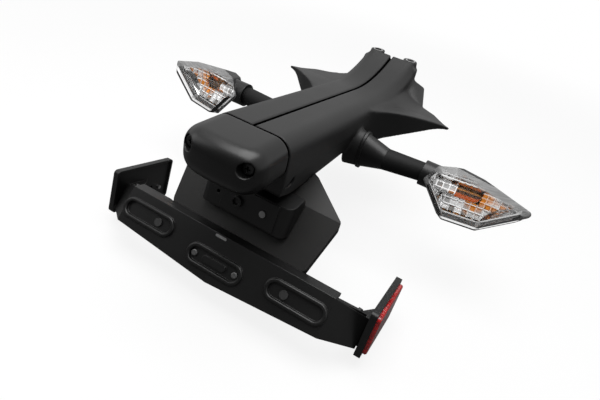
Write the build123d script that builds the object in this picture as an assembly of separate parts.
"""Motorbike tail tidy: undertail housing, plate bracket, plate lamp, reflectors and indicators.

Millimetres. X is the rider's right, Y is forward, Z is up. The origin lies midway between
the two front fixing bosses, on their top faces.
"""
import os
from math import atan2, cos, degrees, radians, sin

from build123d import *

# Undertail housing: two moulded halves that meet on the centre plane
HALF_WIDTH = 25.0
WALL = 2.5
SHOULDER = 10.0
SEAM_GAP = 1.2
SEAM_CHAMFER = 1.0
LIP_REACH = 5.0
LIP_WALL = 2.0
FIT = 0.3
SPARE = 10.0
OVERCUT = 1.0
TIP_ROOM = 2.0
LIP_BOND = 0.2
LIP_BOTTOM = -30.0
REAR_Y = -226.0
REAR_TOP = -1.2
WAIST_Y = -80.0
WAIST_TOP = -14.1
FRONT_Y = -6.0
FRONT_TOP = 0.3
CHIN_BOTTOM = -38.0
CHIN_LENGTH = 20.0
BELLY_BOTTOM = -44.0
BELLY_FRONT_Y = -66.0
NECK_BOTTOM = -27.0
CREASE_Z = -28.0
BELLY_HALF_WIDTH = 22.0
CHIN_R = 5.0
CHIN_VENT = ((-220.5, -34.0), (-213.0, -33.0), (-214.5, -26.0))

# Winglets: each section has its x and its (y, z) corners at ridge, valley, front edge and lower edge
WING_SECTIONS = (
    (20.0, ((-126.0, -13.5), (-66.0, -19.0), (-10.0, -14.0), (-104.0, -49.5))),
    (26.0, ((-104.0, -16.5), (-62.0, -21.5), (-13.0, -21.5), (-97.0, -47.0))),
    (34.0, ((-93.0, -17.2), (-57.0, -23.0), (-17.5, -25.5), (-88.0, -42.5))),
    (46.0, ((-80.0, -18.8), (-52.0, -24.5), (-23.5, -27.4), (-76.0, -37.6))),
    (62.0, ((-61.0, -23.3), (-48.0, -26.0), (-34.5, -28.0), (-59.0, -32.0))),
    (75.5, ((-50.5, -26.6), (-48.6, -27.4), (-46.8, -28.3), (-49.8, -29.6))),
)
WING_HOLLOW_SPREAD = 1.3

# Front fixing bosses with steel collars
BOSS_X = 16.0
BOSS_R = 6.5
BOSS_HEIGHT = 16.0
COLLAR_R = 4.5
BOLT_R = 3.25
BOSS_BLOCK_TOP = -5.0
BOSS_BLOCK_FRONT = 2.0
TAB_ROOT = (24.0, -4.0, -12.0)
TAB_TIP = (36.0, 3.0, -19.0)

# End cap and its two screws
CAP_GAP = 0.9
CAP_LENGTH = 34.0
CAP_BOTTOM = -28.0
CAP_LOW_R = 12.0
CAP_WALL = 2.2
CAP_BOW = 3.0
CAP_CORNER_R = 14.0
CAP_SCREW_X = 17.6
CAP_SCREW_Z = -9.5
CAP_SCREW_R = 2.0
CAP_HEAD_R = 3.4
CAP_HEAD_DEPTH = 3.0
CAP_HEAD_ROUND = 1.0
CAP_RECESS = 6.0
CAP_BORE_R = 3.9
CAP_POST_R = 5.2
CAP_BOSS_LENGTH = 16.0

# Mud flap: one folded plate from the belly down to the back of the bracket
FLAP_T = 3.0
FLAP_TONGUE_FRONT_Y = -134.0
FLAP_TONGUE_REAR_Y = -182.0
FLAP_TONGUE_Z = -41.0
FLAP_TONGUE_CLEAR = 0.6
FLAP_SHOULDER = 6.0
FLAP_CREASE_Y = -202.1
FLAP_CREASE_Z = -50.7
FLAP_CREASE_HALF = 56.3
FLAP_FOOT_Y = -226.4
FLAP_FOOT_Z = -76.7
FLAP_FOOT_HALF = 50.3
FLAP_TAIL = 27.0
FLAP_TAIL_HALF = 26.0
FLAP_CORNER_R = 3.0
FLAP_SCREW_X = 12.0
FLAP_SCREW_INSET = 10.0
FLAP_SCREW_R = 2.0
FLAP_SCREW_HEAD_R = 4.0
FLAP_SCREW_HEAD = 2.4
FLAP_SCREW_ROUND = 1.4
FLAP_SCREW_GRIP = 12.0
FLAP_POST_R = 4.5

# Licence-plate bracket: pressed sheet, folded along its top, ears swept forward
SHEET = 2.0
FOLD_Y = -234.8
FOLD_Z = -74.4
FACE_TILT = 36.0
FACE_HALF = 75.0
FACE_DROP_MID = 30.0
FACE_DROP_END = 24.5
FLANGE_DEPTH = 8.8
FLANGE_TILT = 20.7
LIP_DEPTH = 3.0
EAR_SWEEP = 43.0
EAR_LENGTH = 26.6
EAR_TOP_DROP = 3.5
EAR_END_DROP = 22.5
EAR_FLANGE_DEPTH = 6.2
EAR_SCREW_INSET = 3.6
RING_X = 55.0
RING_DROP = 12.8
RING_MID_DROP = 17.6
RING_LENGTH = 41.0
RING_WIDTH = 14.0
RING_RIDGE = 2.8
RING_HEIGHT = 1.7
RING_ROUND = 1.1
RING_SINK = 0.8
MID_BAR_LENGTH = 17.0
MID_BAR_WIDTH = 4.4
RIVET_X = 15.1
RIVET_R = 1.6
RIVET_HEAD_R = 2.2
RIVET_HEAD = 1.4
RIVET_ROUND = 0.8
RIVET_PAD_R = 3.8
PLUG_X = 47.3
PLUG_R = 1.9
PLUG_HEAD_R = 2.7
PLUG_HEAD = 1.0
SLIT_X = -3.7
SLIT_DROP = 1.6
SLIT_LENGTH = 8.0
SLIT_WIDTH = 1.6
CLIP_DEPTH = 5.0

# Reflectors on the bracket ends
REF_EAR_CLEAR = 0.75
REF_BASE_T = 4.0
REF_LENGTH = 55.0
REF_HEIGHT = 32.0
REF_Y = -205.4
REF_Z = -96.8
REF_PITCH = -11.0
REF_CORNER_R = 2.5
REF_RIM = 1.6
REF_RIM_HEIGHT = 1.4
REF_LENS_T = 2.4
REF_LENS_MARGIN = 2.4
REF_LENS_CHAMFER = 0.8
REF_BLOCK_LENGTH = 12.0
REF_BLOCK_REACH = 24.0
REF_BLOCK_HEIGHT = 15.0
REF_STUD_R = 1.4
REF_STUD_FORWARD = 18.2
REF_STUD_DROP = 6.5
REF_STUD_PROUD = 1.2
REF_HOLE_R = 1.3
REF_HOLE_FORWARD = 9.6
REF_HOLE_DROP = 4.8
REF_SCREW_R = 0.9
REF_SCREW_HEAD_R = 1.5
REF_SCREW_HEAD = 0.9
REF_SCREW_GRIP = 6.0

# Plate lamp under the end cap
LAMP_HALF = 31.0
LAMP_REAR_LOW = (-224.1, -65.4)
LAMP_REAR_HIGH = (-218.8, -47.0)
LAMP_FRONT_Y = -204.5
LAMP_TOP_FRONT_Z = -45.2
LAMP_CORNER_R = 5.0
LAMP_WALL = 1.8
LAMP_SCREW_X = -4.5
LAMP_PIN_X = 13.9
LAMP_SCREW_DROP = 9.5
LAMP_SCREW_R = 1.8
LAMP_HEAD_R = 3.6
LAMP_HEAD = 2.2
LAMP_SCREW_LENGTH = 14.0
LAMP_SOCKET_R = 1.9
LAMP_POST_WALL = 1.6
LAMP_PIN_R = 1.3
LAMP_PIN_HEAD_R = 2.1
LAMP_PIN_HEAD = 1.0
LAMP_PANEL_X = -16.0
LAMP_PANEL_END = 3.0
LAMP_PANEL_T = 0.8
LAMP_PILOT_X = -19.4
LAMP_PILOT_R = 1.2
LAMP_LENS_HALF = 24.0
LAMP_LENS_T = 1.6
BULB_R = 3.0
BULB_LENGTH = 7.0
BULB_ROUND = 2.8
BULB_REAR_ROOM = 5.7
BULB_RISE = 2.1
LAMP_BULB_END_ROOM = 15.0
LAMP_SOCKET_LENGTH = 6.0

# Indicators, one each side on the same axis
AXIS_Y = -118.0
AXIS_Z = -41.5
PAD_X = 31.0
PAD_HALF_Y = 9.5
PAD_HALF_Z = 13.5
PAD_DRAFT = 2.0
NUT_SEAT_X = 20.5
NUT_T = 5.0
NUT_FLATS = 15.0
NUT_ROOM = 2.7
STUD_R = 5.0
STUD_BORE_R = 3.0
STUD_PROUD = 3.0
BASE_END_X = 50.0
BASE_FLANGE = 2.0
BASE_FLANGE_LIP = 1.0
STEM_R = 8.0
STEM_END_R = 7.0
LENS_X = 118.0
LENS_Y = -116.1
STEM_TO_LENS_X = 35.0
STEM_TO_LENS_Y = 3.1
LENS_SWEEP = 10.0
LENS_OUTLINE = (
    (-38.0, -41.5), (-19.8, -64.2), (9.6, -63.4), (38.8, -40.0),
    (9.5, -30.5), (-20.5, -25.4), (-31.5, -28.5),
)
LENS_CENTRE = (-4.0, -45.0)
LENS_FACE_CENTRE = (-6.0, -58.0)
LENS_CORNER_R = 3.0
LENS_BULGE = 7.0
LENS_FACE_SCALE = 0.82
LENS_WALL = 1.5
LENS_LAP = 2.0
BODY_DEPTH = 22.0
BODY_BACK_SCALE = 0.55
BODY_WALL = 1.3
RIM_PROUD = 0.3
COLLAR_LAP = 6.0
COLLAR_WALL = 1.2
COLLAR_REACH = 18.0
BOWL_WALL = 1.2
BOWL_CLEAR = 0.4
LAMP_BULB_START = -14.0
LAMP_BULB_Q = -45.0
LAMP_BULB_DEPTH = 9.5
LAMP_BULB_R = 5.5
LAMP_BULB_LENGTH = 18.0
LAMP_BULB_ROUND = 5.0
SOCKET_R = 5.2
SOCKET_LENGTH = 24.0


def outline(points, radius=0.0):
    """Closed flat outline through the points, with every corner rounded."""
    face = make_face(Polyline(*points, close=True))
    if radius > 0:
        face = fillet(face.vertices(), radius)
    return face


def prism(points, x0, x1):
    """Side outline of (y, z) points carried across from x0 to x1."""
    face = Plane.YZ.offset(x0) * outline(points)
    return extrude(face, x1 - x0)


def rod(start, direction, radius, length):
    """Round bar from a start point along a direction."""
    return extrude(Plane(origin=start, z_dir=direction) * Circle(radius), length)


def block(x0, x1, y0, y1, z0, z1):
    """Box between two corners."""
    return Pos((x0 + x1) / 2, (y0 + y1) / 2, (z0 + z1) / 2) * Box(x1 - x0, y1 - y0, z1 - z0)


def mirrored(solid):
    """The same piece on the other side of the bike."""
    return mirror(solid, about=Plane.YZ)


# Undertail halves
def channel(inset, x0, rear_inset, front_extra, depth_extra):
    """Right side of the housing, moved in from its outer skin by an inset."""
    rear = REAR_Y + rear_inset
    front = FRONT_Y + front_extra
    slope = (WAIST_TOP - REAR_TOP) / (WAIST_Y - REAR_Y)
    rear_top = REAR_TOP - inset + slope * rear_inset
    waist = (WAIST_Y, WAIST_TOP - inset)
    spine = Line((rear, rear_top), waist)
    rise = TangentArc(waist, (FRONT_Y, FRONT_TOP - inset), tangent=spine % 1)
    edges = [spine, rise]
    crest = rise @ 1
    if front_extra:
        ahead = crest + (rise % 1) * (front_extra / (rise % 1).X)
        edges.append(Line(crest, ahead))
        crest = ahead
    rest = Polyline(
        (crest.X, crest.Y),
        (front, NECK_BOTTOM - depth_extra),
        (BELLY_FRONT_Y, BELLY_BOTTOM - depth_extra),
        (REAR_Y + CHIN_LENGTH, BELLY_BOTTOM - depth_extra),
        (rear, CHIN_BOTTOM - depth_extra),
        (rear, rear_top),
    )
    edges.append(rest)
    side = make_face(Curve() + edges)
    chin = side.vertices().sort_by_distance((rear, CHIN_BOTTOM - depth_extra))[:1]
    side = fillet(chin, CHIN_R)
    half = HALF_WIDTH - inset
    body = extrude(Plane.YZ.offset(x0) * side, half - x0)
    shoulder_edges = body.edges().filter_by(
        lambda e: abs(e.center().X - half) < 0.01 and e.center().Z > WAIST_TOP - inset - OVERCUT
    )
    ends = (rear, front)
    shoulder_edges = shoulder_edges.filter_by(lambda e: all(abs(e.center().Y - y) > 0.01 for y in ends))
    body = fillet(shoulder_edges, SHOULDER - inset)
    lean = (HALF_WIDTH - BELLY_HALF_WIDTH) / (CREASE_Z - BELLY_BOTTOM)
    low = BELLY_BOTTOM - depth_extra - SPARE
    beyond = half + SPARE
    foot = half - lean * (CREASE_Z - low)
    taper = outline(((half, CREASE_Z), (beyond, CREASE_Z), (beyond, low), (foot, low)))
    return body - extrude(Plane.XZ.offset(-front - SPARE) * taper, front - rear + 4 * SPARE)


def winglet():
    """Swept winglet that flares out of the flank, solid."""
    return loft([Plane.YZ.offset(x) * outline(corners) for x, corners in WING_SECTIONS])


def winglet_hollow():
    """Space inside the winglet, open underneath."""
    faces = []
    for x, corners in WING_SECTIONS[1:-1]:
        ridge, valley, front, lower = [Vector(*corner) for corner in corners]
        front = ridge + (front - ridge) * WING_HOLLOW_SPREAD
        lower = ridge + (lower - ridge) * WING_HOLLOW_SPREAD
        skin = outline(((p.X, p.Y) for p in (ridge, valley, front, lower)))
        faces.append(Plane.YZ.offset(x) * offset(skin, -WALL, kind=Kind.INTERSECTION))
    return loft(faces)


def indicator_pad(grow, x0, x1):
    """Oval pad on the flank that carries an indicator."""
    axis = Plane(origin=(0, AXIS_Y, AXIS_Z), x_dir=(0, 1, 0), z_dir=(1, 0, 0))
    wide = axis.offset(x0) * Ellipse(PAD_HALF_Y + grow, PAD_HALF_Z + grow)
    seat = axis.offset(x1) * Ellipse(PAD_HALF_Y, PAD_HALF_Z)
    return loft([wide, seat])


def undertail_half(with_lip):
    """Right-hand half; the lip bridges the seam from one half into the other."""
    gap = SEAM_GAP / 2
    outer = channel(0, gap, 0, 0, 0) + winglet()
    outer += indicator_pad(PAD_DRAFT, WING_SECTIONS[0][0], PAD_X)
    cavity = channel(WALL, -OVERCUT, WALL, SPARE, SPARE)
    shell = outer - cavity - winglet_hollow()
    edge = shell.edges().filter_by(
        lambda e: abs(e.center().X - gap) < 0.01 and e.center().Z > WAIST_TOP - WALL / 2
    )
    top_edges = edge.filter_by(lambda e: e.length > 2 * WALL)
    shell = chamfer(top_edges, SEAM_CHAMFER)
    shell += front_boss()
    for post in flap_posts():
        shell += post
    cap_boss = rod((CAP_SCREW_X, REAR_Y, CAP_SCREW_Z), (0, 1, 0), CAP_POST_R - OVERCUT, CAP_BOSS_LENGTH)
    shell += cap_boss & channel(0, gap, 0, 0, 0)
    shell -= rod((CAP_SCREW_X, REAR_Y - OVERCUT, CAP_SCREW_Z), (0, 1, 0), CAP_SCREW_R, CAP_BOSS_LENGTH)
    shell -= rod((0, AXIS_Y, AXIS_Z), (1, 0, 0), STUD_R + FIT / 2, PAD_X + OVERCUT)
    shell -= rod((0, AXIS_Y, AXIS_Z), (1, 0, 0), NUT_FLATS / 2 + NUT_ROOM, NUT_SEAT_X)
    shell -= prism(CHIN_VENT, BELLY_HALF_WIDTH / 2, HALF_WIDTH + OVERCUT)
    if with_lip:
        shell += seam_lip()
    return shell


def seam_lip():
    """Lip under the seam, fused to this half and reaching across to the other."""
    inner = channel(WALL + LIP_WALL, -OVERCUT, WALL, 2 * SPARE, 2 * SPARE)
    own = channel(WALL - LIP_BOND, 0, WALL, 0, SPARE) - inner
    own &= block(0, LIP_REACH, REAR_Y + WALL, FRONT_Y, BELLY_BOTTOM, FRONT_TOP)
    far = mirrored(channel(WALL + FIT, 0, WALL + FIT, 0, SPARE) - inner)
    far &= block(-LIP_REACH, 0, REAR_Y + WALL, FRONT_Y, BELLY_BOTTOM, FRONT_TOP)
    keep = block(-LIP_REACH, LIP_REACH, REAR_Y + WALL + FIT, FRONT_Y - FIT, LIP_BOTTOM, FRONT_TOP)
    return (own + far) & keep


def front_boss():
    """Fixing boss ahead of the neck, tied to it by a block, with its collar hole."""
    boss = rod((BOSS_X, 0, 0), (0, 0, -1), BOSS_R, BOSS_HEIGHT)
    inner = BOSS_X - BOSS_R
    tie = block(inner, HALF_WIDTH, FRONT_Y - WALL, BOSS_BLOCK_FRONT, -BOSS_HEIGHT, BOSS_BLOCK_TOP)
    hole_top = Vector(BOSS_X, 0, WALL)
    return boss + tie - rod(hole_top, (0, 0, -1), COLLAR_R + FIT / 2, BOSS_HEIGHT + 2 * WALL)


def flap_screw_places():
    """Screws through the flap's tongue on the right side: x and y."""
    return [
        (FLAP_SCREW_X, FLAP_TONGUE_FRONT_Y - FLAP_SCREW_INSET),
        (FLAP_SCREW_X, FLAP_TONGUE_REAR_Y + FLAP_SCREW_INSET),
    ]


def flap_posts():
    """Screw posts that hang from the housing roof down to the flap's tongue."""
    posts = []
    for x, y in flap_screw_places():
        post = rod((x, y, FLAP_TONGUE_Z), (0, 0, 1), FLAP_POST_R, -FLAP_TONGUE_Z)
        post &= channel(WALL / 2, -OVERCUT, 0, 0, 0)
        posts.append(post - rod((x, y, FLAP_TONGUE_Z), (0, 0, 1), FLAP_SCREW_R, FLAP_SCREW_GRIP + TIP_ROOM))
    return posts


def harness_tab():
    """Sloping sheet between the neck's front corner and the winglet's front edge, on the right half only."""
    wing_edge = []
    for x, corners in WING_SECTIONS[1:4:2]:
        front_y, front_z = corners[2]
        wing_edge.append((x, front_y - WALL, front_z))
    strips = []
    for edge in ((TAB_ROOT, TAB_TIP), wing_edge):
        upper = [Vector(*point) for point in edge]
        lower = [point - Vector(0, 0, WALL) for point in reversed(upper)]
        strips.append(make_face(Polyline(*upper, *lower, close=True)))
    return loft(strips, ruled=True)


# End cap
def cap_form(inset, front_y, length):
    """Block with a bowed, rounded tail in plan and rolled upper and lower rims."""
    half = HALF_WIDTH - inset
    top = REAR_TOP - inset
    low = CAP_BOTTOM + inset
    end_y = front_y - length
    bow_y = end_y + CAP_BOW
    sides = Polyline((-half, bow_y), (-half, front_y), (half, front_y), (half, bow_y))
    plan = make_face(sides + ThreePointArc((half, bow_y), (0, end_y), (-half, bow_y)))
    plan = fillet(plan.vertices().filter_by(lambda v: abs(v.Y - bow_y) < FIT), CAP_CORNER_R - inset)
    form = extrude(Pos(0, 0, low) * plan, top - low)
    for level, radius in ((top, SHOULDER - inset), (low, CAP_LOW_R - inset)):
        rim = form.edges().filter_by(lambda e: abs(e.center().Z - level) < FIT)
        form = fillet(rim.filter_by(lambda e: e.center().Y < front_y - FIT), radius)
    return form


def tail_end_cap():
    """Moulded cap, hollow, with two screw posts."""
    front = REAR_Y - CAP_GAP
    end = front - CAP_LENGTH
    form = cap_form(0, front, CAP_LENGTH)
    shell = form - cap_form(CAP_WALL, front + OVERCUT, CAP_LENGTH + OVERCUT - CAP_WALL)
    for side in (-1, 1):
        place = (side * CAP_SCREW_X, front, CAP_SCREW_Z)
        post = rod(place, (0, -1, 0), CAP_POST_R, CAP_LENGTH)
        shell += post & form
        shell -= rod((place[0], front + OVERCUT, CAP_SCREW_Z), (0, -1, 0), CAP_SCREW_R + FIT, CAP_LENGTH)
        mouth = (place[0], end - OVERCUT, CAP_SCREW_Z)
        shell -= rod(mouth, (0, 1, 0), CAP_BORE_R, cap_seat_depth() + OVERCUT)
    return shell


def cap_seat_depth():
    """How far a screw head's seat lies in from the cap's end."""
    return CAP_RECESS + CAP_HEAD_DEPTH


def cap_screw(side):
    """Cross-head screw through the cap into the housing."""
    seat = REAR_Y - CAP_GAP - CAP_LENGTH + cap_seat_depth()
    head = rod((side * CAP_SCREW_X, seat, CAP_SCREW_Z), (0, -1, 0), CAP_HEAD_R, CAP_HEAD_DEPTH)
    head = fillet(head.edges().sort_by(Axis.Y)[:1], CAP_HEAD_ROUND)
    length = REAR_Y + CAP_BOSS_LENGTH - seat - TIP_ROOM
    shank = rod((side * CAP_SCREW_X, seat, CAP_SCREW_Z), (0, 1, 0), CAP_SCREW_R, length)
    return head + shank


# Bracket plane: u across, v up the face, w out of the face to the rear
tilt = radians(FACE_TILT)
FACE = Plane(origin=(0, FOLD_Y, FOLD_Z), x_dir=(1, 0, 0), z_dir=(0, -cos(tilt), sin(tilt)))


def face_point(u, v, w):
    """Point on the bracket's own axes."""
    return FACE.from_local_coords(Vector(u, v, w))


def face_rod(u, v, w0, w1, radius):
    """Round bar square to the bracket's face, from w0 to w1."""
    return rod(face_point(u, v, w0), FACE.z_dir * (1 if w1 > w0 else -1), radius, abs(w1 - w0))


def reflector_base_x():
    """Inner face of a reflector's base, just clear of the ear's end."""
    return FACE_HALF + EAR_LENGTH * cos(radians(EAR_SWEEP)) + REF_EAR_CLEAR


def ear_plane(side):
    """Ear face: x runs out along the ear, y up the face."""
    sweep = radians(EAR_SWEEP)
    along = FACE.x_dir * (side * cos(sweep)) - FACE.z_dir * sin(sweep)
    normal = FACE.x_dir * (side * sin(sweep)) + FACE.z_dir * cos(sweep)
    return Plane(origin=face_point(side * FACE_HALF, 0, 0), x_dir=along, z_dir=normal)


def ear_fold(side):
    """Plane of the ear's top flange: x runs out along the ear, y away from the rear."""
    plane = ear_plane(side)
    up = ear_up(side)
    slope = degrees(atan2(EAR_TOP_DROP, EAR_LENGTH))
    fold = Plane(origin=plane.origin, x_dir=plane.x_dir, z_dir=plane.y_dir * up)
    return fold.rotated((0, up * slope, 0))


def ear_up(side):
    """Sign of the ear plane's y axis that points up the bracket."""
    return 1 if ear_plane(side).y_dir.dot(FACE.y_dir) > 0 else -1


def ear_back(side):
    """Sign of the ear flange's y axis that points behind the ear."""
    return 1 if ear_fold(side).y_dir.dot(ear_plane(side).z_dir) < 0 else -1


def ear(side):
    """Swept ear with the top flange carried on along it."""
    up = ear_up(side)
    top = -up * EAR_TOP_DROP
    shape = outline(((0, 0), (EAR_LENGTH, top), (EAR_LENGTH, -up * EAR_END_DROP), (0, -up * FACE_DROP_END)))
    plate = extrude(ear_plane(side) * shape, -SHEET)
    reach = EAR_LENGTH - SHEET / 2
    width = ear_back(side) * EAR_FLANGE_DEPTH
    strip = outline(((0, 0), (reach, 0), (reach, width), (0, width)))
    return plate + extrude(ear_fold(side) * strip, -SHEET)


def ring(u, v):
    """Pressed obround bead with rounded shoulders."""
    outer = Pos(u, v) * SlotOverall(RING_LENGTH, RING_WIDTH)
    bead = extrude(FACE * (outer - ring_floor(u, v)), RING_HEIGHT)
    crest = bead.faces().sort_by(lambda f: -(f.center() - FACE.origin).dot(FACE.z_dir))[0]
    return fillet(crest.edges(), RING_ROUND)


def ring_floor(u, v):
    """Obround floor inside a bead."""
    return Pos(u, v) * SlotOverall(RING_LENGTH - 2 * RING_RIDGE, RING_WIDTH - 2 * RING_RIDGE)


def plate_bracket():
    """Pressed sheet with top flange, bottom lip, beads, slots and swept ears."""
    face = FACE * outline(
        (
            (-FACE_HALF, 0), (FACE_HALF, 0),
            (FACE_HALF, -FACE_DROP_END), (0, -FACE_DROP_MID), (-FACE_HALF, -FACE_DROP_END),
        )
    )
    sheet = extrude(face, -SHEET)
    fall = radians(FLANGE_TILT)
    tip = (FLANGE_DEPTH * sin(fall), -FLANGE_DEPTH * cos(fall))
    under = (-SHEET * cos(fall), -SHEET * sin(fall))
    flange_side = Plane(origin=face_point(-FACE_HALF, 0, 0), x_dir=FACE.y_dir, z_dir=FACE.x_dir)
    turn = 1 if flange_side.y_dir.dot(FACE.z_dir) > 0 else -1
    profile = ((0, 0), tip, (tip[0] + under[0], tip[1] + under[1]), under)
    strip = flange_side * outline([(v, turn * w) for v, w in profile])
    sheet += extrude(strip, 2 * FACE_HALF)
    for side in (-1, 1):
        lip = FACE * outline(
            (
                (0, -FACE_DROP_MID), (side * FACE_HALF, -FACE_DROP_END),
                (side * FACE_HALF, -FACE_DROP_END + SHEET), (0, -FACE_DROP_MID + SHEET),
            )
        )
        sheet += extrude(lip, -SHEET - LIP_DEPTH)
        sheet += ear(side)
    for u, v in bead_places():
        sheet += ring(u, v)
        sheet -= extrude(FACE * ring_floor(u, v), -RING_SINK)
    bar = Pos(0, -RING_MID_DROP) * SlotOverall(MID_BAR_LENGTH, MID_BAR_WIDTH)
    sheet += extrude(FACE.offset(-SHEET) * bar, SHEET + RING_SINK)
    sheet -= flap_slab()
    for side in (-1, 1):
        sheet -= face_rod(side * RIVET_X, -RING_MID_DROP, RING_HEIGHT, -SHEET - 1, RIVET_R + FIT / 2)
        sheet -= face_rod(side * PLUG_X, -RING_DROP, RING_HEIGHT, -SHEET - 1, PLUG_R + FIT / 2)
        sheet -= ear_screw_hole(side)
    return sheet - extrude(FACE.offset(OVERCUT) * fold_slot(FIT), -FLANGE_DEPTH)


def fold_slot(clear):
    """Slot at the fold, opened up by a clearance all round."""
    return Pos(SLIT_X, -SLIT_DROP) * SlotOverall(SLIT_LENGTH + clear, SLIT_WIDTH + clear)


def bracket_clip():
    """Bright spring-steel clip that shows in the slot at the fold."""
    return extrude(FACE * fold_slot(0), -CLIP_DEPTH)


def bead_places():
    """Centres of the three beads on the face."""
    return [(-RING_X, -RING_DROP), (0, -RING_MID_DROP), (RING_X, -RING_DROP)]


def plate_plug(side):
    """Push-in plug in a plate-screw hole."""
    head = face_rod(side * PLUG_X, -RING_DROP, -RING_SINK, PLUG_HEAD - RING_SINK, PLUG_HEAD_R)
    stem = face_rod(side * PLUG_X, -RING_DROP, -RING_SINK, -SHEET - PLUG_HEAD, PLUG_R)
    return head + stem


def ear_screw_spot(side, radius):
    """Disc on the ear's flange where a reflector screw goes through."""
    behind = ear_back(side) * (SHEET + EAR_FLANGE_DEPTH) / 2
    return Pos(EAR_LENGTH - EAR_SCREW_INSET, behind) * Circle(radius)


def ear_screw_hole(side):
    """Hole for a reflector screw."""
    spot = ear_screw_spot(side, REF_SCREW_R + FIT / 2)
    return extrude(ear_fold(side).offset(SHEET) * spot, -3 * SHEET)


def reflector_screw(side):
    """Small pan-head screw down through the ear's flange into the reflector's wedge."""
    head = extrude(ear_fold(side) * ear_screw_spot(side, REF_SCREW_HEAD_R), REF_SCREW_HEAD)
    shank = extrude(ear_fold(side) * ear_screw_spot(side, REF_SCREW_R), -SHEET - REF_SCREW_GRIP)
    return head + shank


def rivet(u):
    """Rivet that holds the bracket to the flap's tail."""
    lean = flap_tail_w(1) - flap_tail_w(0)
    back = flap_tail_w(-RING_MID_DROP) - FLAP_T * (1 + lean * lean) ** 0.5 - RIVET_HEAD_R * abs(lean)
    head = face_rod(u, -RING_MID_DROP, -RING_SINK, RIVET_HEAD - RING_SINK, RIVET_HEAD_R)
    circles = head.edges().filter_by(GeomType.CIRCLE)
    top = circles.sort_by(lambda e: -(e.center() - FACE.origin).dot(FACE.z_dir))
    head = fillet(top[:1], RIVET_ROUND)
    shank = face_rod(u, -RING_MID_DROP, -RING_SINK, back, RIVET_R)
    tail = face_rod(u, -RING_MID_DROP, back, back - RIVET_HEAD, RIVET_HEAD_R)
    return head + shank + tail


# Mud flap
def flap_direction():
    """Unit (y, z) down the flap's lower leaf."""
    dy = FLAP_FOOT_Y - FLAP_CREASE_Y
    dz = FLAP_FOOT_Z - FLAP_CREASE_Z
    length = (dy * dy + dz * dz) ** 0.5
    return dy / length, dz / length


def flap_tail_w(v):
    """Height of the flap's rear surface over the bracket's face plane, at v on the bracket."""
    foot = FACE.to_local_coords(Vector(0, FLAP_FOOT_Y, FLAP_FOOT_Z))
    crease = FACE.to_local_coords(Vector(0, FLAP_CREASE_Y, FLAP_CREASE_Z))
    return foot.Z + (v - foot.Y) * (crease.Z - foot.Z) / (crease.Y - foot.Y)


def mud_flap():
    """Folded plate: tongue under the housing, wide crease, leaf and tail behind the bracket."""
    dy, dz = flap_direction()
    tail = (FLAP_FOOT_Y + dy * FLAP_TAIL, FLAP_FOOT_Z + dz * FLAP_TAIL)
    top = (
        (FLAP_TONGUE_FRONT_Y, FLAP_TONGUE_Z), (FLAP_TONGUE_REAR_Y, FLAP_TONGUE_Z),
        (FLAP_CREASE_Y, FLAP_CREASE_Z), tail,
    )
    path = Polyline(*top)
    section = Plane.YZ.offset(-FLAP_CREASE_HALF) * make_face(
        Polyline(*top, *[(p.X, p.Y) for p in reversed(flap_underside(path))], close=True)
    )
    plate = extrude(section, 2 * FLAP_CREASE_HALF)
    tongue_half = BELLY_HALF_WIDTH - WALL - FLAP_TONGUE_CLEAR
    right = (
        (tongue_half, FLAP_TONGUE_FRONT_Y + SPARE), (tongue_half, FLAP_TONGUE_REAR_Y + FLAP_SHOULDER),
        (FLAP_CREASE_HALF, FLAP_CREASE_Y), (FLAP_FOOT_HALF, FLAP_FOOT_Y),
        (FLAP_TAIL_HALF, FLAP_FOOT_Y - 2), (FLAP_TAIL_HALF, tail[0] - SPARE),
    )
    plan = outline(list(right) + [(-x, y) for x, y in reversed(right)], FLAP_CORNER_R)
    plate &= Pos(0, 0, tail[1] - SPARE) * extrude(plan, FLAP_TONGUE_Z - tail[1] + 2 * SPARE)
    plate -= flank_space()
    plate -= mirrored(flank_space())
    for x, radius in lamp_fixings():
        plate -= rod(lamp_face_point(x, LAMP_SCREW_DROP), lamp_inward(), radius + FIT / 2, 2 * FLAP_FOOT_HALF)
    for u in (-RIVET_X, RIVET_X):
        w = flap_tail_w(-RING_MID_DROP)
        plate += face_rod(u, -RING_MID_DROP, w - 1, -SHEET, RIVET_PAD_R)
        plate -= face_rod(u, -RING_MID_DROP, 0, w - 2 * FLAP_T, RIVET_R + FIT / 2)
    for x, y in flap_screw_places():
        for side in (-1, 1):
            plate -= rod((side * x, y, FLAP_TONGUE_Z + 1), (0, 0, -1), FLAP_SCREW_R + FIT, FLAP_T + 2)
    return plate


def flank_space():
    """Room that the flap leaves for the right flank's wall."""
    return channel(-FIT, 0, -FIT, 0, FIT) - channel(WALL + FIT, -OVERCUT, WALL + FIT, SPARE, SPARE)


def flap_slab():
    """Room that the bracket's flange leaves for the flap's lower leaf."""
    dy, dz = flap_direction()
    back = (dz * FIT, -dy * FIT)
    front = (-dz * (FLAP_T + FIT), dy * (FLAP_T + FIT))
    start = (FLAP_CREASE_Y, FLAP_CREASE_Z)
    end = (FLAP_FOOT_Y + dy * FLAP_TAIL, FLAP_FOOT_Z + dz * FLAP_TAIL)
    pairs = ((start, back), (end, back), (end, front), (start, front))
    corners = [(point[0] + shift[0], point[1] + shift[1]) for point, shift in pairs]
    half = FLAP_FOOT_HALF + 2 * FIT
    return prism(corners, -half, half)


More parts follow.
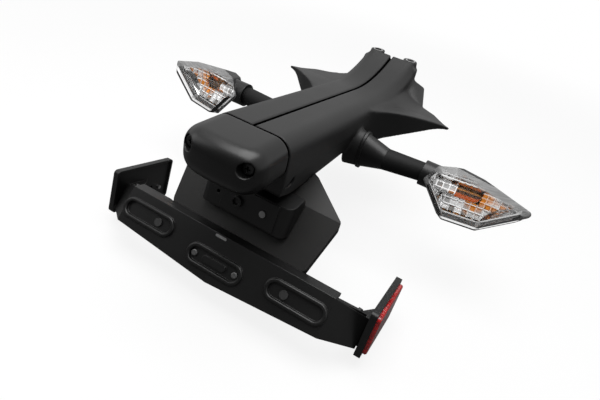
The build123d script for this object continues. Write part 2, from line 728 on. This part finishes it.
def flap_underside(path):
    """Corners of the flap's lower surface, one thickness under the path."""
    points = [path @ 0] + [e @ 1 for e in path.edges()]
    directions = [e % 0.5 for e in path.edges()]
    lower = []
    for i, point in enumerate(points):
        before = directions[max(i - 1, 0)]
        after = directions[min(i, len(directions) - 1)]
        normal = Vector(-before.Y, before.X) + Vector(-after.Y, after.X)
        normal = normal.normalized()
        reach = FLAP_T / normal.dot(Vector(-before.Y, before.X))
        lower.append(point + normal * reach)
    return lower


def flap_screw(x, y):
    """Pan-head screw from below, through the tongue into its post."""
    under = FLAP_TONGUE_Z - FLAP_T
    head = rod((x, y, under), (0, 0, -1), FLAP_SCREW_HEAD_R, FLAP_SCREW_HEAD)
    head = fillet(head.edges().sort_by(Axis.Z)[:1], FLAP_SCREW_ROUND)
    return head + rod((x, y, under), (0, 0, 1), FLAP_SCREW_R, FLAP_T + FLAP_SCREW_GRIP)


# Plate lamp
def lamp_profile(inset):
    """Side outline of the lamp on the flap: (y, z) corners."""
    dy, dz = flap_direction()
    seat = FIT
    low_y, low_z = LAMP_REAR_LOW
    high_y, high_z = LAMP_REAR_HIGH
    t_low = (low_z - FLAP_CREASE_Z) / dz
    flap_low = (FLAP_CREASE_Y + dy * t_low - seat, low_z)
    crease = (FLAP_CREASE_Y - seat, FLAP_CREASE_Z + seat)
    front_top = (LAMP_FRONT_Y, LAMP_TOP_FRONT_Z)
    return (
        (low_y + inset, low_z + inset), (high_y + inset, high_z - inset),
        (front_top[0] - inset, front_top[1] - inset), (crease[0] - inset, crease[1] + inset),
        (flap_low[0] - inset, flap_low[1] + inset),
    )


def lamp_form(inset):
    """Lamp block, rounded at its two rear ends."""
    half = LAMP_HALF - inset
    form = prism(lamp_profile(inset), -half, half)
    sides = form.edges().filter_by(lambda e: abs(abs(e.center().X) - half) < 0.01)
    rear = sides.sort_by(Axis.Y)[:2]
    return fillet(rear, max(LAMP_CORNER_R - inset, 1.0))


def lamp_face_point(x, drop):
    """Point on the lamp's rear face, a drop below its top edge."""
    low_y, low_z = LAMP_REAR_LOW
    high_y, high_z = LAMP_REAR_HIGH
    share = drop / ((high_y - low_y) ** 2 + (high_z - low_z) ** 2) ** 0.5
    return Vector(x, high_y + (low_y - high_y) * share, high_z + (low_z - high_z) * share)


def lamp_inward():
    """Direction square into the lamp's rear face."""
    low_y, low_z = LAMP_REAR_LOW
    high_y, high_z = LAMP_REAR_HIGH
    return Vector(0, high_z - low_z, low_y - high_y).normalized()


def lamp_seat(x):
    """Point on the lamp's raised panel where a fixing's head sits."""
    return lamp_face_point(x, LAMP_SCREW_DROP) - lamp_inward() * LAMP_PANEL_T


def lamp_panel():
    """Raised panel on the lamp's rear face."""
    rise = Vector(0, LAMP_REAR_HIGH[0] - LAMP_REAR_LOW[0], LAMP_REAR_HIGH[1] - LAMP_REAR_LOW[1])
    plane = Plane(origin=lamp_face_point(0, rise.length / 2), x_dir=(1, 0, 0), z_dir=-lamp_inward())
    end = LAMP_HALF - LAMP_CORNER_R - LAMP_PANEL_END
    half = rise.length / 2 - LAMP_PANEL_T
    shape = outline(((LAMP_PANEL_X, -half), (end, -half), (end, half), (LAMP_PANEL_X, half)), LAMP_PANEL_T)
    return extrude(plane * shape, LAMP_PANEL_T)


def lamp_fixings():
    """Screw and pin that hold the lamp on the flap: x and radius."""
    return [(LAMP_SCREW_X, LAMP_SCREW_R), (LAMP_PIN_X, LAMP_PIN_R)]


def plate_lamp_housing():
    """Hollow lamp body with a window underneath, fixing posts and a pilot hole."""
    body = lamp_form(0) - lamp_form(LAMP_WALL) + lamp_panel()
    body -= lamp_window(0)
    depth = 2 * LAMP_HALF
    for x, radius in lamp_fixings():
        start = lamp_face_point(x, LAMP_SCREW_DROP)
        body += rod(start, lamp_inward(), radius + LAMP_POST_WALL, depth) & lamp_form(0)
        body -= rod(lamp_seat(x) - lamp_inward(), lamp_inward(), radius + FIT / 2, depth)
    pilot = lamp_face_point(LAMP_PILOT_X, LAMP_SCREW_DROP) - lamp_inward()
    return body - rod(pilot, lamp_inward(), LAMP_PILOT_R, 2 * LAMP_WALL)


def lamp_window(clear):
    """Window block through the lamp's underside."""
    low_y, low_z = LAMP_REAR_LOW
    front = lamp_profile(0)[4][0]
    half = LAMP_LENS_HALF - clear
    rear = low_y + LAMP_WALL + FIT + clear
    return block(-half, half, rear, front - LAMP_WALL - clear, low_z - 1, low_z + LAMP_WALL + 1)


def plate_lamp_lens():
    """Clear window that lights the plate."""
    low_z = LAMP_REAR_LOW[1]
    slab = lamp_window(FIT / 2)
    return slab & block(-LAMP_HALF, LAMP_HALF, REAR_Y, 0, low_z, low_z + LAMP_LENS_T)


def lamp_bulb_place():
    """Base of the lamp's bulb, midway between the rear face and the flap."""
    low_y = (LAMP_REAR_LOW[0] + LAMP_REAR_HIGH[0]) / 2
    low_z = (LAMP_REAR_LOW[1] + LAMP_REAR_HIGH[1]) / 2
    return Vector(LAMP_BULB_END_ROOM - LAMP_HALF, low_y + LAMP_WALL + BULB_REAR_ROOM, low_z + BULB_RISE)


def plate_lamp_bulb():
    """Small capsule bulb."""
    start = lamp_bulb_place()
    bulb = rod(start, (-1, 0, 0), BULB_R, BULB_LENGTH)
    return fillet(bulb.edges().sort_by(Axis.X)[:1], BULB_ROUND)


def plate_lamp_socket():
    """Holder behind the bulb, standing on the lamp's inner wall."""
    start = lamp_bulb_place()
    holder = rod(start, (1, 0, 0), BULB_R + 1, LAMP_SOCKET_LENGTH)
    reach = start.Y + LAMP_SOCKET_LENGTH + BULB_LENGTH
    foot = block(
        start.X, start.X + LAMP_SOCKET_LENGTH, start.Y, reach, start.Z - LAMP_WALL, start.Z + LAMP_WALL,
    )
    return (holder + foot) & lamp_form(LAMP_WALL)


def lamp_screw():
    """Socket-head screw through the lamp into the flap."""
    start = lamp_seat(LAMP_SCREW_X)
    head = rod(start, -lamp_inward(), LAMP_HEAD_R, LAMP_HEAD)
    head -= rod(start - lamp_inward() * LAMP_HEAD, lamp_inward(), LAMP_SOCKET_R, LAMP_HEAD / 2)
    return head + rod(start, lamp_inward(), LAMP_SCREW_R, LAMP_SCREW_LENGTH)


def lamp_pin():
    """Bright drive pin beside the screw."""
    start = lamp_seat(LAMP_PIN_X)
    head = rod(start, -lamp_inward(), LAMP_PIN_HEAD_R, LAMP_PIN_HEAD)
    return head + rod(start, lamp_inward(), LAMP_PIN_R, LAMP_SCREW_LENGTH)


# Reflectors
def reflector_plane(x):
    """Plane of a right-hand reflector at x: its x axis runs forward along the reflector."""
    pitch = radians(REF_PITCH)
    return Plane(origin=(x, REF_Y, REF_Z), x_dir=(0, cos(pitch), sin(pitch)), z_dir=(1, 0, 0))


def reflector_base():
    """Base plate with an inner rim and a wedge block that takes the bracket's ear."""
    sheet = reflector_plane(reflector_base_x()) * RectangleRounded(REF_LENGTH, REF_HEIGHT, REF_CORNER_R)
    base = extrude(sheet, REF_BASE_T)
    opening = RectangleRounded(REF_LENGTH - 2 * REF_RIM, REF_HEIGHT - 2 * REF_RIM, REF_CORNER_R - REF_RIM)
    recess = reflector_plane(reflector_base_x()) * opening
    base -= extrude(recess, REF_RIM_HEIGHT)
    base += reflector_block()
    for place, radius in (
        ((REF_STUD_FORWARD, -REF_STUD_DROP), REF_STUD_R + FIT / 2),
        ((REF_HOLE_FORWARD, -REF_HOLE_DROP), REF_HOLE_R),
    ):
        base -= extrude(reflector_plane(reflector_base_x()) * (Pos(*place) * Circle(radius)), REF_BASE_T)
    return base


def reflector_stud():
    """Bright stud behind the reflector, through its base."""
    face = reflector_plane(reflector_base_x() + REF_RIM_HEIGHT - REF_STUD_PROUD)
    stud = face * (Pos(REF_STUD_FORWARD, -REF_STUD_DROP) * Circle(REF_STUD_R))
    return extrude(stud, REF_BASE_T - REF_RIM_HEIGHT + REF_STUD_PROUD)


def reflector_block():
    """Wedge between the back of the ear and the plate, with the screw's pilot hole."""
    plane = ear_plane(1)
    end = plane.from_local_coords(Vector(EAR_LENGTH, -ear_up(1) * (EAR_TOP_DROP + SHEET + 2 * FIT), 0))
    rise = reflector_plane(0).y_dir
    base = Plane(origin=end - rise * REF_BLOCK_HEIGHT, x_dir=(1, 0, 0), z_dir=rise)
    inner = reflector_base_x() + REF_RIM_HEIGHT + FIT - end.X
    shape = outline(
        (
            (-REF_BLOCK_LENGTH, -REF_BLOCK_REACH), (inner, -REF_BLOCK_REACH),
            (inner, REF_BLOCK_REACH), (-REF_BLOCK_LENGTH, 0),
        )
    )
    wedge = extrude(base * shape, REF_BLOCK_HEIGHT)
    wide = 2 * reflector_base_x()
    wedge -= extrude(plane.offset(-SHEET - FIT) * Rectangle(wide, wide), wide)
    frame = Rectangle(REF_LENGTH - REF_RIM, REF_HEIGHT - REF_RIM)
    wedge &= extrude(reflector_plane(0) * frame, wide)
    pilot = ear_screw_spot(1, REF_SCREW_R)
    return wedge - extrude(ear_fold(1) * pilot, -SHEET - REF_SCREW_GRIP - FIT)


def reflector_lens():
    """Red reflector, slightly smaller than its base."""
    margin = 2 * REF_LENS_MARGIN
    face = RectangleRounded(REF_LENGTH - margin, REF_HEIGHT - margin, REF_CORNER_R)
    lens = extrude(reflector_plane(reflector_base_x() + REF_BASE_T) * face, REF_LENS_T)
    return chamfer(lens.faces().sort_by(Axis.X)[-1].edges(), REF_LENS_CHAMFER)


# Indicators, right-hand side
sweep = radians(LENS_SWEEP)
LENS_PLANE = Plane(
    origin=(LENS_X, LENS_Y, 0), x_dir=(cos(sweep), sin(sweep), 0), z_dir=(sin(sweep), -cos(sweep), 0)
)


def lens_outline(scale, grow, w, centre=LENS_CENTRE):
    """Lens outline scaled about a centre, grown, at height w over the rim plane."""
    cp, cq = centre
    points = [(cp + scale * (p - cp), cq + scale * (q - cq)) for p, q in LENS_OUTLINE]
    face = make_face(Polyline(*points, close=True))
    if grow:
        face = offset(face, grow, kind=Kind.INTERSECTION)
    return LENS_PLANE.offset(w) * fillet(face.vertices(), LENS_CORNER_R * scale)


def case_skin(inset, w):
    """Outline on the case's cone at depth w, moved in by an inset."""
    scale = 1 + (1 - BODY_BACK_SCALE) * w / BODY_DEPTH
    return lens_outline(scale, -inset, w)


def case_cone(inset, top_w, low_w):
    """Solid between two depths of the case's cone."""
    return loft([case_skin(inset, top_w), case_skin(inset, low_w)], ruled=True)


def stem_end():
    """Where the stem ends inside the case's collar: x and y."""
    return LENS_X - STEM_TO_LENS_X, LENS_Y + STEM_TO_LENS_Y


def indicator_body():
    """Bowl-shaped case with a thin rim and a collar for the stem."""
    end_x, end_y = stem_end()
    collar_start = end_x - COLLAR_LAP
    centre = (end_y, AXIS_Z)
    collar = rod((collar_start, *centre), (1, 0, 0), STEM_R + COLLAR_WALL, COLLAR_LAP + COLLAR_REACH)
    collar &= extrude(LENS_PLANE * Rectangle(4 * LENS_X, 4 * LENS_X), -BODY_DEPTH)
    body = case_cone(-RIM_PROUD, 0, -BODY_DEPTH) + collar
    body -= case_cone(BODY_WALL - RIM_PROUD, BODY_WALL, -BODY_DEPTH + BODY_WALL)
    return body - rod((collar_start - FIT, *centre), (1, 0, 0), STEM_END_R + FIT, COLLAR_LAP + FIT)


def bowl_inset():
    """How far the bowl's outer skin lies inside the case's nominal cone."""
    return BODY_WALL - RIM_PROUD + BOWL_CLEAR


def indicator_reflector():
    """Bright bowl inside the case, with a hole for the bulb socket."""
    deep = -BODY_DEPTH + BODY_WALL + BOWL_CLEAR
    bowl = case_cone(bowl_inset(), -LENS_LAP - FIT, deep)
    bowl -= case_cone(bowl_inset() + BOWL_WALL, -LENS_LAP, deep + BOWL_WALL)
    return bowl - bulb_rod(SOCKET_R + FIT, -SOCKET_LENGTH, 0)


def bulb_rod(radius, start, end):
    """Round bar along the lens's long side, measured from the foot of the bulb."""
    foot = LENS_PLANE.from_local_coords(Vector(LAMP_BULB_START + start, LAMP_BULB_Q, -LAMP_BULB_DEPTH))
    return rod(foot, LENS_PLANE.x_dir, radius, end - start)


def indicator_socket():
    """Bulb socket that stands on the case's inner end wall."""
    room = case_cone(BODY_WALL - RIM_PROUD, 0, -BODY_DEPTH + BODY_WALL)
    return bulb_rod(SOCKET_R, -SOCKET_LENGTH, 0) & room


def indicator_bulb():
    """Amber bulb: a long round glass with a domed end."""
    glass = bulb_rod(LAMP_BULB_R, 0, LAMP_BULB_LENGTH)
    return fillet(glass.edges().sort_by(Axis.X)[-1:], LAMP_BULB_ROUND)


def indicator_lens():
    """Clear lens with a wide upper slope, seated on the case's rim with a lap inside it."""
    lap = BODY_WALL - RIM_PROUD + FIT
    face = lens_outline(LENS_FACE_SCALE, 0, LENS_BULGE, LENS_FACE_CENTRE)
    hollow = lens_outline(LENS_FACE_SCALE, -LENS_WALL, LENS_BULGE - LENS_WALL, LENS_FACE_CENTRE)
    lens = loft([case_skin(-RIM_PROUD, 0), face], ruled=True) + case_cone(lap, 0, -LENS_LAP)
    lens -= loft([case_skin(lap + LENS_WALL, 0), hollow], ruled=True)
    return lens - case_cone(lap + LENS_WALL, 0, -LENS_LAP - FIT)


def indicator_base():
    """Flared base with a hollow threaded stud."""
    axis = Plane(origin=(0, AXIS_Y, AXIS_Z), x_dir=(0, 1, 0), z_dir=(1, 0, 0))
    rim = Ellipse(PAD_HALF_Y + BASE_FLANGE_LIP, PAD_HALF_Z + BASE_FLANGE_LIP)
    flange = extrude(axis.offset(PAD_X) * rim, BASE_FLANGE)
    seat = axis.offset(PAD_X) * Ellipse(PAD_HALF_Y, PAD_HALF_Z)
    flare = loft([seat, axis.offset(BASE_END_X) * Circle(STEM_R)])
    stud_start = NUT_SEAT_X - NUT_T - STUD_PROUD
    stud = rod((stud_start, AXIS_Y, AXIS_Z), (1, 0, 0), STUD_R, PAD_X - stud_start + 1)
    bore = rod((stud_start - 1, AXIS_Y, AXIS_Z), (1, 0, 0), STUD_BORE_R, BASE_END_X - stud_start + 2)
    return flange + flare + stud - bore


def indicator_stem():
    """Rubber stem between base and case, hollow for its wires."""
    axis = Plane(origin=(0, AXIS_Y, AXIS_Z), x_dir=(0, 1, 0), z_dir=(1, 0, 0))
    end_x, end_y = stem_end()
    drift = Pos(end_y - AXIS_Y, 0)
    skins = []
    for near, far in ((STEM_R, STEM_END_R), (STUD_BORE_R, STUD_BORE_R)):
        rings = [axis.offset(BASE_END_X) * Circle(near)]
        for x in (end_x - COLLAR_LAP - OVERCUT, end_x):
            rings.append(axis.offset(x) * (drift * Circle(far)))
        skins.append(loft(rings, ruled=True))
    return skins[0] - skins[1]


def indicator_nut():
    """Hexagon nut inside the flank."""
    axis = Plane(origin=(0, AXIS_Y, AXIS_Z), x_dir=(0, 1, 0), z_dir=(1, 0, 0))
    hexagon = RegularPolygon(NUT_FLATS / 2, 6, major_radius=False)
    nut = extrude(axis.offset(NUT_SEAT_X - NUT_T) * hexagon, NUT_T)
    return nut - rod((0, AXIS_Y, AXIS_Z), (1, 0, 0), STUD_R, NUT_SEAT_X + 1)


def mount_collar(side):
    """Steel sleeve in a front boss."""
    sleeve = rod((side * BOSS_X, 0, 0), (0, 0, -1), COLLAR_R, BOSS_HEIGHT)
    return sleeve - rod((side * BOSS_X, 0, 1), (0, 0, -1), BOLT_R, BOSS_HEIGHT + 2)


def group(solids):
    """Several separate solids in one node."""
    return Compound(children=[s if isinstance(s, Solid) else s.solids()[0] for s in solids])


def build():
    """All nodes by name."""
    places = flap_screw_places()
    nodes = {
        "undertail_right_half": undertail_half(False) + harness_tab(),
        "undertail_left_half": mirrored(undertail_half(True)),
        "tail_end_cap": tail_end_cap(),
        "end_cap_screws": group([cap_screw(-1), cap_screw(1)]),
        "mount_collars": group([mount_collar(-1), mount_collar(1)]),
        "mud_flap": mud_flap(),
        "mud_flap_screws": group([flap_screw(side * x, y) for x, y in places for side in (-1, 1)]),
        "plate_bracket": plate_bracket(),
        "bracket_clip": bracket_clip(),
        "bracket_rivets": group([rivet(-RIVET_X), rivet(RIVET_X)]),
        "plate_hole_plugs": group([plate_plug(-1), plate_plug(1)]),
        "reflector_studs": group([mirrored(reflector_stud()), reflector_stud()]),
        "reflector_screws": group([reflector_screw(-1), reflector_screw(1)]),
        "plate_lamp_housing": plate_lamp_housing(),
        "plate_lamp_lens": plate_lamp_lens(),
        "plate_lamp_bulb": plate_lamp_bulb(),
        "plate_lamp_socket": plate_lamp_socket(),
        "plate_lamp_screw": lamp_screw(),
        "plate_lamp_pin": lamp_pin(),
    }
    paired = {
        "reflector_base": reflector_base(),
        "reflector_lens": reflector_lens(),
        "indicator_body": indicator_body(),
        "indicator_reflector": indicator_reflector(),
        "indicator_socket": indicator_socket(),
        "indicator_bulb": indicator_bulb(),
        "indicator_lens": indicator_lens(),
        "indicator_base": indicator_base(),
        "indicator_stem": indicator_stem(),
        "indicator_nut": indicator_nut(),
    }
    for name, solid in paired.items():
        nodes[name + "_right"] = solid
        nodes[name + "_left"] = mirrored(solid)
    return nodes


if __name__ == "__main__":
    os.makedirs("parts", exist_ok=True)
    for name, shape in build().items():
        export_step(shape, f"parts/{name}.step")
        print(name, len(shape.solids()), "solid(s)", round(shape.volume / 1000, 2), "cm3")
